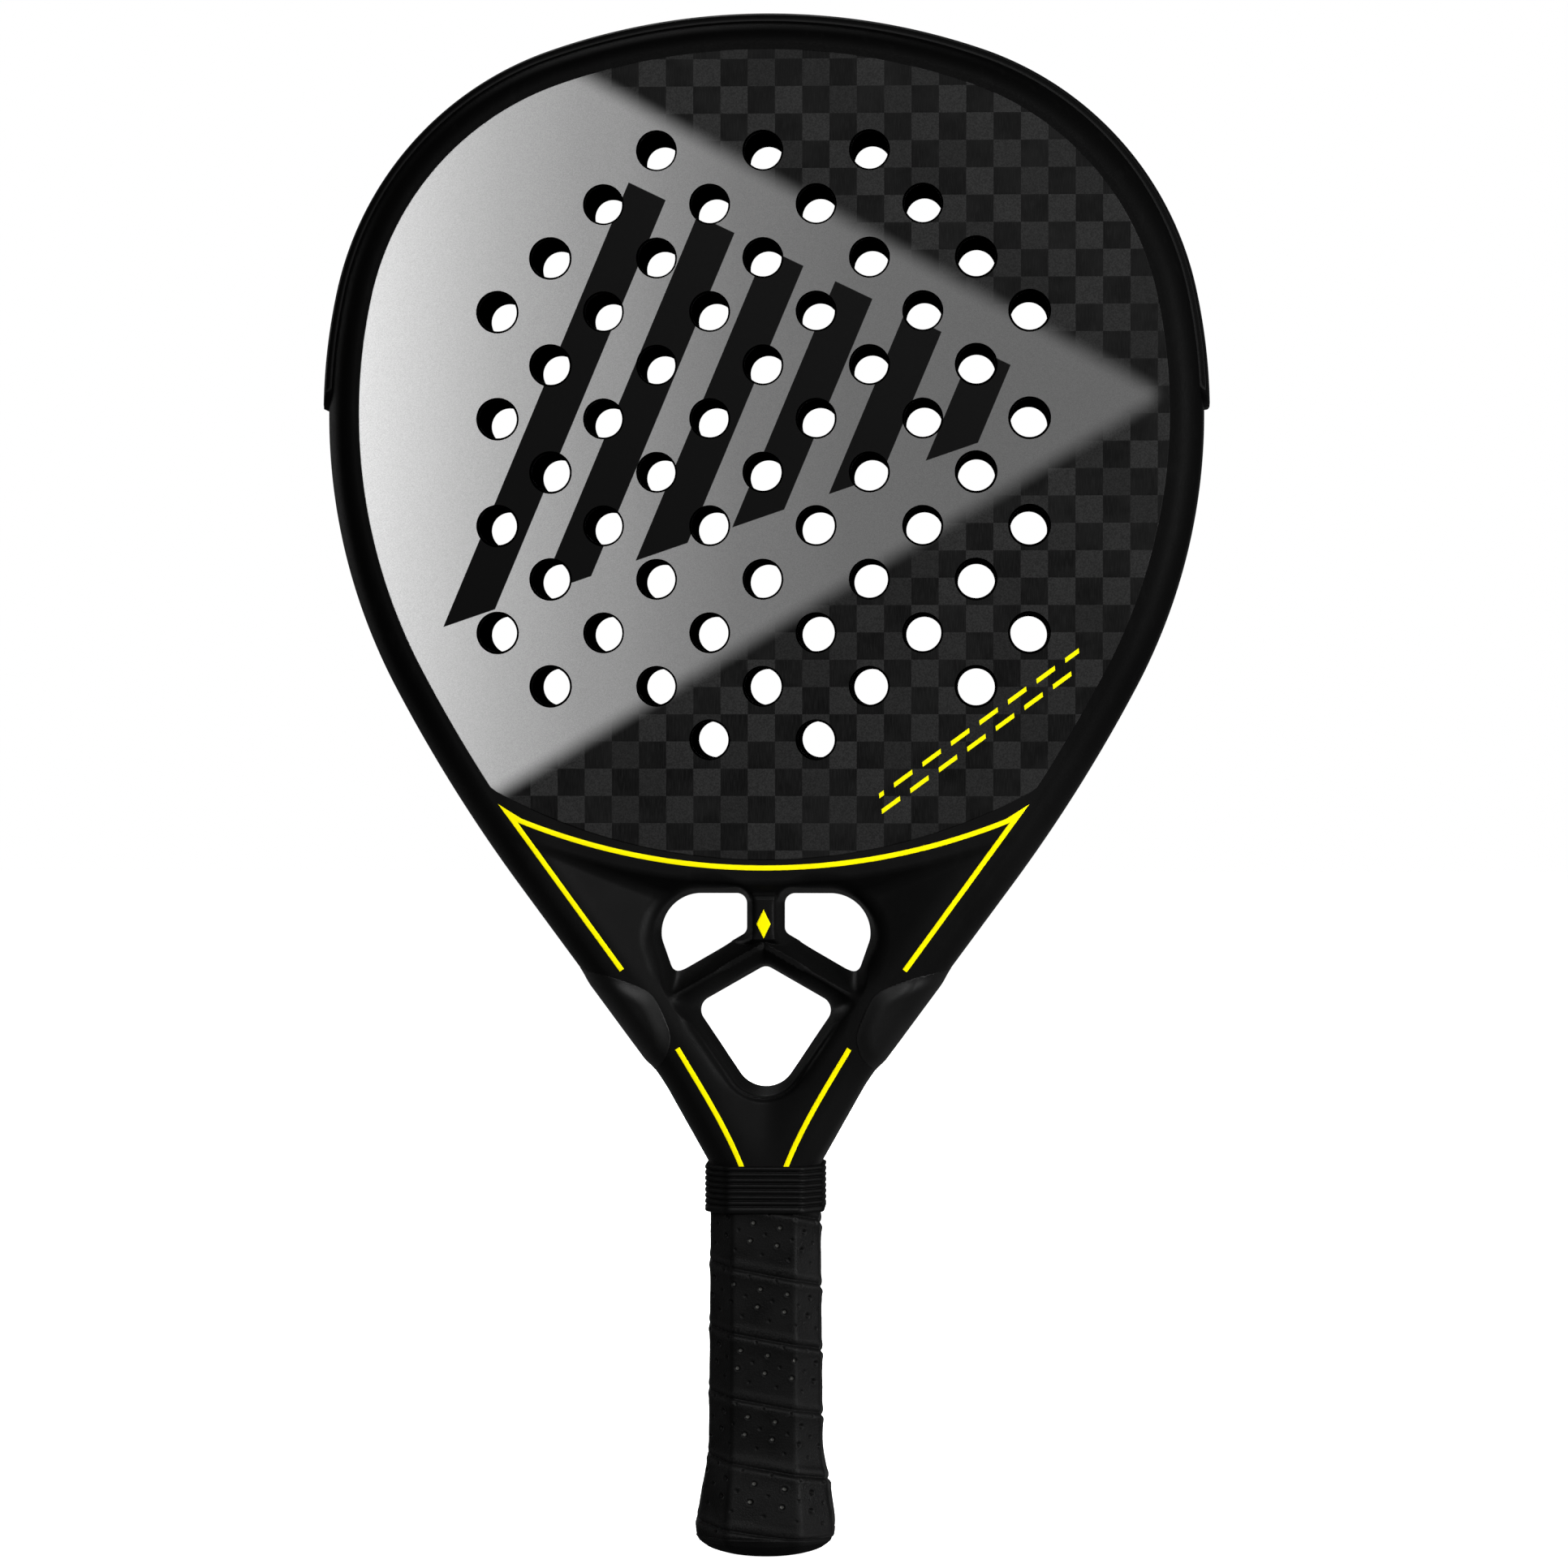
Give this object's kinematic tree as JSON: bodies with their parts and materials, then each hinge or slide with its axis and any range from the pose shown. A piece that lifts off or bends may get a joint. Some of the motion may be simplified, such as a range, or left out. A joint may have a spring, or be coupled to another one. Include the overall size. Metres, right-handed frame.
{
  "type": "padel racket",
  "caption": "Teardrop padel racket: drilled foam-cored head in a hollow rim, open Y-strut throat, ribbed collar, taped octagonal grip with flared butt, edge bumper over the top",
  "frame": {"origin": "middle of the butt end, at the height of its lowest point", "axes": "+Z along the racket from the butt to the tip of the head, +X across the face, +Y through the racket from the front face to the back face"},
  "size_m": [0.2604, 0.038, 0.4535],
  "materials": {
    "frame_black": "satin black lacquer over carbon laminate",
    "front_laminate": "silver and carbon-weave film, satin",
    "back_laminate": "silver and carbon-weave film, satin",
    "eva_foam": "black closed-cell foam",
    "rigid_foam": "cream polyurethane foam",
    "sleeve_black": "satin black",
    "bumper_black": "satin black",
    "adhesive_film": "clear adhesive film",
    "cap_black": "moulded black",
    "grip_black": "perforated black synthetic leather",
    "tape_black": "black finishing tape",
    "collar_black": "ribbed black rubber"
  },
  "bodies": {
    "root": {"rim_tube": "frame_black", "throat_bridge": "frame_black", "bridge_foam": "rigid_foam", "eva_core": "eva_foam", "front_face": "front_laminate", "back_face": "back_laminate", "right_arm_sleeve": "sleeve_black", "left_arm_sleeve": "sleeve_black", "bumper": "bumper_black", "bumper_tape": "adhesive_film", "leg_spacer": "rigid_foam", "handle_foam_front": "rigid_foam", "handle_foam_back": "rigid_foam", "butt_cap": "cap_black", "grip_tape": "grip_black", "finishing_tape": "tape_black", "grip_collar": "collar_black"}
  },
  "joints": []
}
